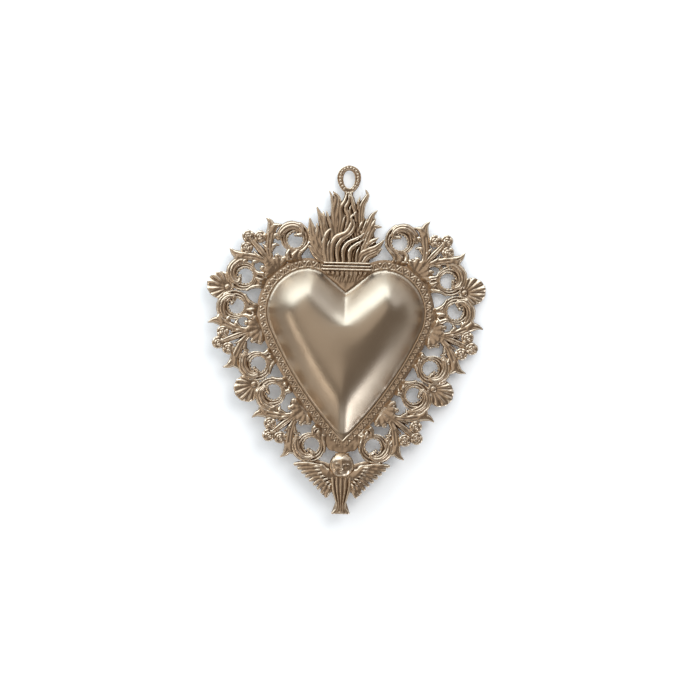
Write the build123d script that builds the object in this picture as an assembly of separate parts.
"""Votive heart in gilt tin: stamped pieces of thin sheet, lapped over one another and soldered.

Everything is drawn lying on its back, x to the right, y up the ornament and z towards the viewer,
with the origin at the middle of the hanging loop. The last step hangs it up, so that +Z is up and
the front looks along -Y. Sheet lies in layers: layer 0 is at the wall, layer 1 laps over it.
"""

import os
from math import asin, atan2, cos, degrees, pi, radians, sin, sqrt, tan

from build123d import *

# Sheet and laps
SHEET = 0.5  # thickness of the tin
LAP = 2.5  # how far one piece lies over the next at a soldered lap
GAP = 0.3  # clearance between neighbours in one layer

# Hanging loop
LOOP_HALF_WIDTH = 6.9
LOOP_HALF_HEIGHT = 7.5
LOOP_BAND_SIDE = 3.5  # width of the band at the sides of the hole
LOOP_BAND_END = 2.4  # width of the band above and below the hole
LOOP_TAIL = 7.0  # strip that goes down behind the flame
LOOP_TAIL_WIDTH = 5.0
BEADS = 20
BEAD_RADIUS = 0.75
BEAD_SIDES = 4
BEAD_TAPER = 30.0
BEAD_ARC = 284.0  # degrees of the loop that carry beads

# Flame, with outline points as shares of its half width and height above the band's underside,
# and the bulge of the arc that leads to each point as a share of its chord
FLAME_TOP_RISE = 1.2  # the middle tongue laps up over the loop's lower edge by this much
FLAME_HEIGHT = 47.1
FLAME_POINTS = (
    (-0.99, 0.34, 0.20),
    (-0.84, 0.39, -0.10),
    (-1.00, 0.645, 0.12),
    (-0.81, 0.57, -0.12),
    (-0.84, 0.79, 0.12),
    (-0.59, 0.68, -0.12),
    (-0.50, 0.985, 0.14),
    (-0.20, 0.81, -0.12),
    (0.00, 1.00, -0.10),
    (0.26, 0.81, -0.10),
    (0.47, 1.00, -0.14),
    (0.55, 0.71, 0.14),
    (0.79, 0.745, -0.16),
    (0.69, 0.55, 0.14),
    (0.91, 0.555, -0.20),
    (0.77, 0.37, 0.12),
    (0.99, 0.37, -0.16),
)
FLAME_CLEARANCE = 0.6  # between the widest tongues and the first scrolls
BAND_WIDTH = 27.5
BAND_HEIGHT = 5.6
BAND_DEPTH = 1.4
BAND_GROOVE = 0.6  # depth of the grooves between the reeds
BAND_REEDS = 3
BAND_BEVEL = 0.2  # share of a reed that slopes on each side
BAND_CLEARANCE = 0.5  # between the band's lower corners and the heart
# Licks of flame in relief: foot and tip in the same shares, and the bulge of each
LICKS = (
    ((-0.50, 0.14), (-0.86, 0.36), 0.14),
    ((-0.38, 0.14), (-0.80, 0.58), 0.12),
    ((-0.24, 0.14), (-0.45, 0.84), 0.10),
    ((-0.08, 0.14), (-0.09, 0.74), -0.09),
    ((0.06, 0.14), (0.20, 0.66), 0.12),
    ((0.20, 0.14), (0.40, 0.82), -0.08),
    ((0.34, 0.14), (0.68, 0.62), -0.10),
    ((0.50, 0.14), (0.86, 0.36), -0.14),
)
LICK_WIDTH = 2.1
LICK_DEPTH = 0.9
FLUTES = 5  # small flutes under the band
FLUTE_PITCH = 2.7
FLUTE_DEPTH = 0.6

# Heart
LOBE_RADIUS = 24.0
LOBE_OFFSET = 20.5  # centre of a lobe from the middle line
CROWN_RADIUS = 14.2  # tighter turn at the top of a lobe on its way into the notch
CROWN_START = 80.0  # degrees above level at which that turn begins
NOTCH_TILT = 39.5  # degrees from level of the notch's straight sides
POINT_DROP = 72.5  # point of the heart below the lobes' centres
LOBE_END = 24.0  # degrees below level at which a lobe runs into its side
DOME_HEIGHT = 18.0
CROWN_DROP = 17.0  # highest part of the dome below the lobes' centres
CLEFT_FADE = 0.62  # how far the cleft has closed at the top of the dome
DOME_STEPS = (1.0, 0.96, 0.89, 0.79, 0.66, 0.50, 0.32, 0.14)  # size of each level of the dome
DOME_FULLNESS = 2.4  # higher is flatter on top and steeper at the rim
POINT_WALL = 1.4  # the wall is thicker by this factor at the point, measured up the ornament
FLANGE = 1.2  # rim of the dome that is soldered down

# Border plate
BORDER = 7.0  # width of the plate around the heart
WINDOW_INSET = 1.0  # the window under the dome is smaller than the heart by this much
APRON_RADIUS = 13.0  # rounded foot of the plate
APRON_RISE = 4.0  # its centre above the heart's point
APRON_SCALLOPS = 3
SCALLOP_RADIUS = 4.0
SCALLOP_PROUD = 0.8
SCALLOP_PITCH = 34.0  # degrees

# Scrolls. The first and last stand alone, the others in pairs with a shell between them. Each is
# placed by its share of the way round the plate's edge and its ring's distance from that edge. The
# third value is how many degrees round the ring its tail leaves, on the side away from the spray
FIRST_SCROLL = (0.1836, 13.0, 120.0)
LAST_SCROLL = (0.9091, 11.3, 120.0)
PAIRS = ((0.3781, 12.8, 105.0), (0.6457, 10.9, 105.0))
PAIR_GAP = 0.8  # between the two rings of a pair
RING_RADIUS = 8.7
EYE_RADIUS = 4.6  # hole of the scroll
EYE_SHIFT = 2.0  # the hole lies nearer the plate, which leaves room for the leaf
RIB_WIDTH = 2.3
RIB_HEIGHT = 1.3
RIB_CREST = 0.4  # flat on top of the rib
RING_SIDES = 24  # a ring is cut with so many short straight sides
HOOK_RADIUS = 1.7  # curled end of the leaf that hangs into the hole
HOOK_SINK = 0.4
HOOK_DROP = 1.6
HOOK_SIDES = 12
TAIL_JOINS = 150.0  # degrees round the ring at which the tail joins it beside the spray
TAIL_WIDTH = 7.4  # width of the tail on the plate
TAIL_HOLLOW = 0.1  # hollow of the tail's curved edge, as a share of its chord
TAIL_EXTRA = 1.3  # longer tail, because the plate's edge curves away
LEAFLETS = 4  # lobes of the leaf round the outer side of the ring
LEAFLET_PITCH = 36.0  # degrees
LEAFLET_HALF = 1.2
LEAF_HEIGHT = 1.0
LEAF_EDGE = 1.7  # middle of the leaflets inside the ring's edge

# Shells
SHELL_LENGTH = 13.0
SHELL_RADIUS = 8.0
SHELL_SET_OUT = 5.4  # hinge of the shell outside the line between its two rings
SHELL_RIBS = 7
SHELL_SPREAD = 128.0  # degrees between the first rib and the last
SHELL_RIB_START = 4.6
SHELL_RELIEF = 1.2

# Sprays, by their share of the way round the plate's edge
SPRAYS = (0.2704, 0.4883, 0.8010)
SPRAY_BASE = 11.4  # width of the leaf on the plate
SPRAY_SHOULDER = (3.4, 5.4)  # where the leaf begins to narrow
SPRAY_LEAF = 8.6  # length of the leaf at the foot
SPRAY_STEM = 2.4
LEAF_HOLLOW = 0.08  # hollow of the leaf's edges, as a share of the chord
VEIN_WIDTH = 6.0
VEIN_HEIGHT = 0.9
ROSE_SET_OUT = 21.2  # the two inner roses from the plate's edge
ROSE_SPREAD = 5.2  # and from the middle of the spray
ROSE_LEAD = 4.6  # the outer rose outside the other two
ROSE_RADIUS = 3.3
ROSE_PAD = 1.3  # how far the pad reaches past the middles of the roses
PETALS = 5
PETAL_DIP = 0.8  # depth of the notch between petals, as a share of the radius
ROSE_TIERS = ((1.0, 0.7), (0.62, 0.6))  # size and height of each ring of petals
HORN_TIP = (27.0, 13.6)
HORN_BELL = (18.8, 16.4)  # inner point of the horn's trumpet end
HORN_ROOT = (5.4, 3.8)  # where the edge by the scroll begins
HORN_START = (7.0, 0.0)  # and the edge by the roses
HORN_HOLLOW = 0.10  # curve of the edge by the scroll, as a share of its chord
BELL_HOLLOW = 0.22  # curve of the trumpet's end

# Cherub
HEAD_DROP = 6.1  # middle of the head below the plate's foot
HEAD_RADIUS = 6.4
HEAD_HEIGHT = 4.2
NECK_HALF = 4.0
SHOULDER_HALF = 7.4
HIP_HALF = 6.6
HIP_DROP = 8.0  # below the chin
WAIST_HALF = 3.2
WAIST_DROP = 17.6
HEM_HALF = 5.4
HEM_DROP = 22.2
FOLDS = 4
FOLD_HEIGHT = 0.9
WING_REACH = 27.0  # tip of the wing from the middle line
WING_TIP_DROP = 3.8  # below the crest of the wing
WING_LOW_DROP = 12.5  # lower inner corner below the chin
WING_LOW_SET_OUT = 0.8  # that corner outside the shoulder
WING_HOLLOW = 0.05  # of the upper edge by the head, as a share of its chord
WING_ROUND = 0.15  # of the upper edge by the tip
FEATHERS = 7
FEATHER_START = 0.4  # where the feathers begin, from the shoulder
FEATHER_ROUND = 0.9
FEATHER_RELIEF = 0.9

# Places that follow from the sizes above
FLAME_FOOT = FLAME_TOP_RISE - LOOP_HALF_HEIGHT - FLAME_HEIGHT
LOBE_Y = FLAME_FOOT - sqrt((LOBE_RADIUS + BAND_CLEARANCE) ** 2 - (LOBE_OFFSET - BAND_WIDTH / 2) ** 2)
POINT_Y = LOBE_Y - POINT_DROP
APRON_Y = POINT_Y + APRON_RISE
PLATE_FOOT = APRON_Y - APRON_RADIUS - SCALLOP_PROUD
HEAD_Y = PLATE_FOOT - HEAD_DROP
CHIN_Y = HEAD_Y - HEAD_RADIUS


def heart_half(lobe_r, crown_r, lobe_x, lobe_y, point_y, tilt):
    """Right half of a heart: straight side of the notch, crown, lobe, and the side's arc to the point."""

    def spot(centre, radius, turn):
        return centre + Vector(cos(radians(turn)), sin(radians(turn))) * radius

    lobe = Vector(lobe_x, lobe_y)
    crown = spot(lobe, lobe_r - crown_r, CROWN_START)
    leave = 90 + tilt
    rim = spot(crown, crown_r, leave)
    notch = Vector(0, rim.Y - rim.X * tan(radians(tilt)))
    top = spot(lobe, lobe_r, CROWN_START)
    shoulder = spot(lobe, lobe_r, -LOBE_END)
    point = Vector(0, point_y)
    out = (shoulder - lobe).normalized()
    chord = shoulder - point
    side_r = chord.dot(chord) / (2 * chord.dot(out))
    side = shoulder - out * side_r
    belly = side + ((shoulder + point) * 0.5 - side).normalized() * side_r
    return (
        Line(notch, rim),
        ThreePointArc(rim, spot(crown, crown_r, (leave + CROWN_START) / 2), top),
        ThreePointArc(top, spot(lobe, lobe_r, (CROWN_START - LOBE_END) / 2), shoulder),
        ThreePointArc(shoulder, belly, point),
    )


def grown_half(margin):
    """Right half of the heart's edge, moved outwards by a margin."""
    side = heart_half(LOBE_RADIUS, CROWN_RADIUS, LOBE_OFFSET, LOBE_Y, POINT_Y, NOTCH_TILT)[-1]
    centre = side.arc_center
    point = centre.Y - sqrt((side.radius + margin) ** 2 - centre.X**2)
    return heart_half(LOBE_RADIUS + margin, CROWN_RADIUS + margin, LOBE_OFFSET, LOBE_Y, point, NOTCH_TILT)


def heart_wire(half):
    return Wire([*half, *(edge.mirror(Plane.YZ) for edge in reversed(half))])


def heart_face(margin):
    return make_face(heart_wire(grown_half(margin)).edges())


def plate_seat(share, set_out=0.0, along=0.0):
    """A plane beside the right half of the plate's edge: x points away from the heart."""
    edge = Wire(grown_half(BORDER))
    run = edge.tangent_at(share)
    out = Vector(-run.Y, run.X)
    return Plane(edge.position_at(share) + out * set_out + run * along, x_dir=out, z_dir=(0, 0, 1))


def layer(face, number, depth=SHEET):
    """A piece of sheet cut to a face, lying on so many other sheets."""
    return Pos(0, 0, number * SHEET) * extrude(face, depth)


def bowed(start, end, bulge):
    """An arc whose rise is a share of its chord, to the left of its direction."""
    start, end = Vector(*start), Vector(*end)
    run = end - start
    return ThreePointArc(start, (start + end) * 0.5 + Vector(-run.Y, run.X) * bulge, end)


def ridge(start, end, half_width, height, floor):
    """A struck rib that starts as a point and grows into a roof."""
    start = Vector(start.X, start.Y, floor)
    end = Vector(end.X, end.Y, floor)
    run = end - start
    across = Plane(end, x_dir=Vector(-run.Y, run.X), z_dir=run)
    roof = make_face(Polyline((-half_width, 0), (half_width, 0), (0, height), close=True))
    return loft([across * roof, Vertex(*start)])


def ring_room(centre):
    """Space that a scroll's ring needs, to cut back the relief of what lies behind it."""
    room = extrude(RegularPolygon(RING_RADIUS + GAP, RING_SIDES), RIB_HEIGHT + LEAF_HEIGHT)
    return Pos(centre.X, centre.Y, SHEET) * room


def dome_body(wall):
    """The heart's dome as a loft through shrinking hearts whose notch closes towards the top."""
    crown = LOBE_Y - CROWN_DROP
    wires = []
    for step in DOME_STEPS:
        open_notch = 1 - CLEFT_FADE * (1 - step)
        half = (LOBE_OFFSET + LOBE_RADIUS) * step - wall
        lobe_x = LOBE_OFFSET * step * open_notch
        lobe_r = half - lobe_x
        crown_r = CROWN_RADIUS * lobe_r / LOBE_RADIUS
        top = crown + (LOBE_RADIUS + CROWN_DROP) * step - wall
        point = crown - (POINT_DROP - CROWN_DROP) * step + wall * POINT_WALL
        height = (DOME_HEIGHT - wall) * sqrt(1 - step**DOME_FULLNESS)
        section = heart_half(lobe_r, crown_r, lobe_x, top - lobe_r, point, NOTCH_TILT * open_notch)
        wires.append(Pos(0, 0, height) * heart_wire(section))
    return Solid.make_loft(wires, ruled=True)


def heart_dome():
    flange = layer(heart_face(FLANGE) - heart_face(-SHEET / 2), 1)
    return flange + Pos(0, 0, SHEET) * (dome_body(0) - dome_body(SHEET))


def border_plate():
    """Flat heart with a window under the dome and a rounded, scalloped foot."""
    foot = Pos(0, APRON_Y) * Circle(APRON_RADIUS)
    for number in range(APRON_SCALLOPS):
        turn = SCALLOP_PITCH * (number - (APRON_SCALLOPS - 1) / 2)
        spot = Pos(0, APRON_Y) * Rot(0, 0, turn) * Pos(0, SCALLOP_RADIUS - APRON_RADIUS - SCALLOP_PROUD)
        foot += spot * Circle(SCALLOP_RADIUS)
    return layer(heart_face(BORDER) + foot - heart_face(-WINDOW_INSET), 0)


def scroll_outline(set_out, leaves_at, margin=0.0):
    """Ring and tail of a scroll, grown by a margin. The tail runs back over the plate's edge."""
    ring = RING_RADIUS + margin
    reach = set_out + LAP + TAIL_EXTRA + margin
    leaves, joins = radians(-leaves_at), radians(TAIL_JOINS)
    start = Vector(cos(leaves), sin(leaves)) * ring
    back = Vector(cos(joins), sin(joins)) * ring
    low = Vector(-reach, start.Y + (reach + start.X) * cos(leaves) / sin(leaves))
    high = low + Vector(0, TAIL_WIDTH + 2 * margin)
    tail = make_face([
        Line(start, low),
        Line(low, high),
        bowed(high, back, -TAIL_HOLLOW),
        Line(back, (0, 0)),
        Line((0, 0), start),
    ])
    return RegularPolygon(ring, RING_SIDES) + tail


def leaflets():
    """Lobes of the leaf that wraps the outer side of the ring, each overlapping the next."""
    away = RING_RADIUS - LEAF_EDGE
    lobes = []
    for number in range(LEAFLETS):
        turn = radians(LEAFLET_PITCH * (number - LEAFLETS / 2))
        ahead = turn + radians(LEAFLET_PITCH)
        start = Vector(cos(turn), sin(turn)) * away
        end = Vector(cos(ahead), sin(ahead)) * away
        lobes.append(ridge(start, end, LEAFLET_HALF, LEAF_HEIGHT, 2 * SHEET))
    return lobes


def ring_rib():
    """Roofed rib round the eye."""
    slope = degrees(atan2((RIB_WIDTH - RIB_CREST) / 2, RIB_HEIGHT))
    roof = extrude(RegularPolygon(EYE_RADIUS + RIB_WIDTH, RING_SIDES), RIB_HEIGHT, taper=slope)
    return roof - extrude(RegularPolygon(EYE_RADIUS, RING_SIDES), RIB_HEIGHT, taper=-slope)


def scroll(set_out, leaves_at):
    """A C-scroll with a roofed rib round its eye and a leaf that curls into the eye."""
    eye = Pos(-EYE_SHIFT, 0) * RegularPolygon(EYE_RADIUS, RING_SIDES)
    curl = RegularPolygon(HOOK_RADIUS, HOOK_SIDES)
    hook = Pos(EYE_RADIUS - EYE_SHIFT - HOOK_SINK, -HOOK_DROP) * curl
    piece = layer(scroll_outline(set_out, leaves_at) - (eye - hook), 1)
    piece += Pos(-EYE_SHIFT, 0, 2 * SHEET) * ring_rib()
    for lobe in leaflets():
        piece += lobe
    return piece


def shell_fan():
    return layer(Pos(SHELL_LENGTH - SHELL_RADIUS, 0) * Circle(SHELL_RADIUS), 0)


def shell_ribs():
    """Ribs of a scallop shell, spreading from a hinge at the origin along x."""
    shift = SHELL_LENGTH - SHELL_RADIUS
    step = radians(SHELL_SPREAD) / (SHELL_RIBS - 1)
    ribs = []
    for number in range(SHELL_RIBS):
        turn = step * (number - (SHELL_RIBS - 1) / 2)
        way = Vector(cos(turn), sin(turn))
        far = shift * cos(turn) + sqrt(SHELL_RADIUS**2 - (shift * sin(turn)) ** 2) - GAP
        half = far * step / 2 - GAP
        ribs.append(ridge(way * SHELL_RIB_START, way * far, half, SHELL_RELIEF, SHEET))
    return ribs


def horn():
    """Upper horn of a spray: a slender leaf that ends in a trumpet of two points beside the scroll."""
    return make_face([
        Line(HORN_START, HORN_TIP),
        bowed(HORN_TIP, HORN_BELL, BELL_HOLLOW),
        bowed(HORN_BELL, HORN_ROOT, HORN_HOLLOW),
        Line(HORN_ROOT, HORN_START),
    ])


def rose_spots():
    """Middles of the roses: one ahead and two beside the stem."""
    return [(ROSE_SET_OUT + ROSE_LEAD, 0), (ROSE_SET_OUT, ROSE_SPREAD), (ROSE_SET_OUT, -ROSE_SPREAD)]


def spray_face():
    """Leaf at the foot, stem with a pad for the roses, and two horns."""
    half = SPRAY_BASE / 2
    neck = SPRAY_STEM / 2
    opposite = (SPRAY_SHOULDER[0], -SPRAY_SHOULDER[1])
    leaf = make_face([
        Line((-LAP, -half), (-LAP, half)),
        Line((-LAP, half), SPRAY_SHOULDER),
        bowed(SPRAY_SHOULDER, (SPRAY_LEAF, neck), -LEAF_HOLLOW),
        Line((SPRAY_LEAF, neck), (SPRAY_LEAF, -neck)),
        bowed((SPRAY_LEAF, -neck), opposite, -LEAF_HOLLOW),
        Line(opposite, (-LAP, -half)),
    ])
    side = ROSE_SPREAD + ROSE_PAD
    front = ROSE_SET_OUT + ROSE_LEAD + ROSE_PAD
    pad = [(ROSE_SET_OUT - side, 0), (ROSE_SET_OUT, side), (front, 0), (ROSE_SET_OUT, -side)]
    face = leaf + Pos(ROSE_SET_OUT / 2, 0) * Rectangle(ROSE_SET_OUT, SPRAY_STEM)
    face += make_face(Polyline(*pad, close=True))
    return face + horn() + mirror(horn(), Plane.XZ)


def spray_vein():
    """Middle rib of the leaf, widest over the plate."""
    return ridge(Vector(SPRAY_LEAF, 0), Vector(GAP - LAP, 0), VEIN_WIDTH / 2, VEIN_HEIGHT, 2 * SHEET)


def rose():
    """A stamped rosette with two tiers of petals."""
    tiers = []
    floor = 2 * SHEET
    for number, (size, height) in enumerate(ROSE_TIERS):
        corners = []
        for corner in range(2 * PETALS):
            turn = pi * (corner + number) / PETALS
            away = ROSE_RADIUS * size * (PETAL_DIP if corner % 2 else 1)
            corners.append((away * cos(turn), away * sin(turn)))
        tiers.append(Pos(0, 0, floor) * extrude(make_face(Polyline(*corners, close=True)), height))
        floor += height
    return tiers[0] + tiers[1]


def flame(half_width):
    """Tongues of fire over a tapering foot that fills the notch between the lobes."""

    def place(across, up):
        return Vector(across * half_width, FLAME_FOOT + up * FLAME_HEIGHT)

    corner = BAND_WIDTH / 2
    last = Vector(-corner, FLAME_FOOT + BAND_HEIGHT)
    edges = [Line((-corner, FLAME_FOOT), last)]
    for across, up, bulge in FLAME_POINTS:
        edges.append(bowed(last, place(across, up), bulge))
        last = place(across, up)
    end = Vector(corner, FLAME_FOOT + BAND_HEIGHT)
    edges += [bowed(last, end, FLAME_POINTS[0][2]), Line(end, (corner, FLAME_FOOT))]
    edges += [Line((corner, FLAME_FOOT), (0, LOBE_Y)), Line((0, LOBE_Y), (-corner, FLAME_FOOT))]
    face = make_face(edges) - heart_face(FLANGE + GAP)
    piece = layer(face.faces().sort_by(SortBy.AREA)[-1], 1)
    for foot, tip, bulge in LICKS:
        foot, tip = place(*foot), place(*tip)
        side = Vector(LICK_WIDTH / 2, 0)
        sides = [bowed(foot - side, tip, bulge), bowed(foot + side, tip, bulge)]
        piece += layer(make_face(sides + [Line(foot - side, foot + side)]), 2, LICK_DEPTH)
    for number in range(FLUTES):
        x = FLUTE_PITCH * (number - (FLUTES - 1) / 2)
        depth = FLUTE_PITCH * FLUTES / 2 - abs(x) / 2
        top = Vector(x, FLAME_FOOT - GAP)
        piece += ridge(top - Vector(0, depth / 2), top, FLUTE_PITCH / 2 - GAP, FLUTE_DEPTH, 2 * SHEET)
    return piece


def flame_band():
    """Reeded band that ties the flame in at its foot."""
    reed = BAND_HEIGHT / BAND_REEDS
    bevel = reed * BAND_BEVEL
    profile = [(0, 0)]
    for number in range(BAND_REEDS):
        low = number * reed
        profile += [(low + bevel, BAND_DEPTH), (low + reed - bevel, BAND_DEPTH)]
        profile += [(low + reed, BAND_DEPTH - BAND_GROOVE)]
    profile[-1] = (BAND_HEIGHT, 0)
    section = Plane.YZ.offset(-BAND_WIDTH / 2) * make_face(Polyline(*profile, close=True))
    return Pos(0, FLAME_FOOT, 2 * SHEET) * extrude(section, BAND_WIDTH, dir=(1, 0, 0))


def hanging_loop():
    """Egg-shaped loop with a beaded face and a tail behind the flame."""
    hole_x = LOOP_HALF_WIDTH - LOOP_BAND_SIDE
    hole_y = LOOP_HALF_HEIGHT - LOOP_BAND_END
    tail_y = -(hole_y + LOOP_HALF_HEIGHT + LOOP_TAIL) / 2
    tail = Pos(0, tail_y) * Rectangle(LOOP_TAIL_WIDTH, LOOP_BAND_END + LOOP_TAIL)
    piece = layer(Ellipse(LOOP_HALF_WIDTH, LOOP_HALF_HEIGHT) - Ellipse(hole_x, hole_y) + tail, 0)
    bead = extrude(RegularPolygon(BEAD_RADIUS, BEAD_SIDES), BEAD_RADIUS / 2, taper=BEAD_TAPER)
    for number in range(BEADS):
        turn = radians(90 + BEAD_ARC * (number / (BEADS - 1) - 0.5))
        x = (LOOP_HALF_WIDTH - LOOP_BAND_SIDE / 2) * cos(turn)
        y = (LOOP_HALF_HEIGHT - LOOP_BAND_END / 2) * sin(turn)
        piece += Pos(x, y, SHEET) * bead
    return piece


def cherub_head():
    """Rounded head, worked up from a disc."""
    bulge = (HEAD_RADIUS**2 + HEAD_HEIGHT**2) / (2 * HEAD_HEIGHT)
    half = asin(HEAD_RADIUS / bulge) / 2
    cheek = (bulge * sin(half), 0, HEAD_HEIGHT - bulge + bulge * cos(half))
    section = make_face([
        Line((0, 0, 0), (HEAD_RADIUS, 0, 0)),
        ThreePointArc((HEAD_RADIUS, 0, 0), cheek, (0, 0, HEAD_HEIGHT)),
        Line((0, 0, HEAD_HEIGHT), (0, 0, 0)),
    ])
    return Pos(0, HEAD_Y, 2 * SHEET) * revolve(section, Axis.Z)


def robe_face():
    right = [
        (NECK_HALF, PLATE_FOOT + SCALLOP_PROUD + LAP),
        (NECK_HALF, HEAD_Y),
        (SHOULDER_HALF, CHIN_Y),
        (HIP_HALF, CHIN_Y - HIP_DROP),
        (WAIST_HALF, CHIN_Y - WAIST_DROP),
        (HEM_HALF, CHIN_Y - HEM_DROP),
    ]
    left = [(-x, y) for x, y in reversed(right)]
    return make_face(Polyline(*right, *left, close=True))


def cherub_robe():
    """Drapery from the neck to the flared hem, with a tab over the plate's foot."""
    piece = layer(robe_face(), 1)
    pitch = 2 * WAIST_HALF / FOLDS
    for number in range(FOLDS):
        x = pitch * (number - (FOLDS - 1) / 2)
        top = Vector(x * SHOULDER_HALF / HIP_HALF, CHIN_Y - GAP)
        end = Vector(x, CHIN_Y - WAIST_DROP)
        piece += ridge(top, end, (pitch - GAP) / 2, FOLD_HEIGHT, 2 * SHEET)
    return piece


def wing(ring):
    """Right wing: feathers fan from the shoulder, and its crest lies behind the last scroll."""
    root = Vector(NECK_HALF, CHIN_Y)
    crest = Vector(ring.X, ring.Y - RING_RADIUS + LAP)
    tip = Vector(WING_REACH, crest.Y - WING_TIP_DROP)
    low = Vector(SHOULDER_HALF + WING_LOW_SET_OUT, CHIN_Y - WING_LOW_DROP)
    top = Vector(NECK_HALF, (HEAD_Y + CHIN_Y) / 2)
    ends = [tip + (low - tip) * (number / FEATHERS) for number in range(FEATHERS + 1)]
    rounding = FEATHER_ROUND / (ends[1] - ends[0]).length
    edges = [bowed(top, crest, -WING_HOLLOW), bowed(crest, tip, WING_ROUND)]
    edges += [bowed(a, b, rounding) for a, b in zip(ends, ends[1:])]
    edges += [Line(low, root), Line(root, top)]
    quills = []
    for a, b in zip(ends, ends[1:]):
        end = (a + b) * 0.5
        half = (b - a).length / 2 - GAP
        quills.append(ridge(root + (end - root) * FEATHER_START, end, half, FEATHER_RELIEF, SHEET))
    robe_room = layer(offset(robe_face(), GAP), 1, FEATHER_RELIEF)
    piece = layer(make_face(edges), 0)
    for quill in quills:
        piece += quill - ring_room(ring) - robe_room
    return piece


def right_side():
    """All pieces of the right-hand half of the surround, by name."""
    seats = [plate_seat(*FIRST_SCROLL[:2])]
    tails = [FIRST_SCROLL[1:]]
    for share, *tail in PAIRS:
        apart = RING_RADIUS + PAIR_GAP / 2
        seats += [plate_seat(share, tail[0], -apart), plate_seat(share, tail[0], apart)]
        tails += [tail, tail]
    seats.append(plate_seat(*LAST_SCROLL[:2]))
    tails.append(LAST_SCROLL[1:])
    pieces, rooms = {}, []
    for number, (seat, tail) in enumerate(zip(seats, tails), 1):
        piece, room = scroll(*tail), scroll_outline(*tail, GAP)
        if number % 2:
            piece, room = mirror(piece, Plane.XZ), mirror(room, Plane.XZ)
        pieces[f"scroll_{number}"] = seat * piece
        rooms.append(seat * room)
    for number, (share, set_out, _) in enumerate(PAIRS, 1):
        hinge = plate_seat(share, set_out + SHELL_SET_OUT)
        piece = hinge * shell_fan()
        upper, lower = seats[2 * number - 1].origin, seats[2 * number].origin
        for rib in shell_ribs():
            piece += hinge * rib - ring_room(upper) - ring_room(lower)
        pieces[f"shell_{number}"] = piece
    for number, share in enumerate(SPRAYS, 1):
        seat = plate_seat(share)
        face = seat * spray_face()
        for room in rooms:
            face -= room
        pieces[f"spray_{number}"] = layer(face.faces().sort_by(SortBy.AREA)[-1], 1) + seat * spray_vein()
        pieces[f"roses_{number}"] = Compound([seat * Pos(x, y) * rose() for x, y in rose_spots()])
    pieces["wing"] = wing(seats[-1].origin)
    return pieces


def main():
    first_ring = plate_seat(*FIRST_SCROLL[:2]).origin
    pieces = {
        "heart_dome": heart_dome(),
        "border_plate": border_plate(),
        "flame": flame(first_ring.X - RING_RADIUS - FLAME_CLEARANCE),
        "flame_band": flame_band(),
        "hanging_loop": hanging_loop(),
        "cherub_head": cherub_head(),
        "cherub_robe": cherub_robe(),
    }
    for name, piece in right_side().items():
        pieces[f"{name}_right"] = piece
        pieces[f"{name}_left"] = mirror(piece, Plane.YZ)
    os.makedirs("parts", exist_ok=True)
    for name, piece in pieces.items():
        export_step(Rot(90, 0, 0) * piece, f"parts/{name}.step")
    print(len(pieces), "pieces")


main()
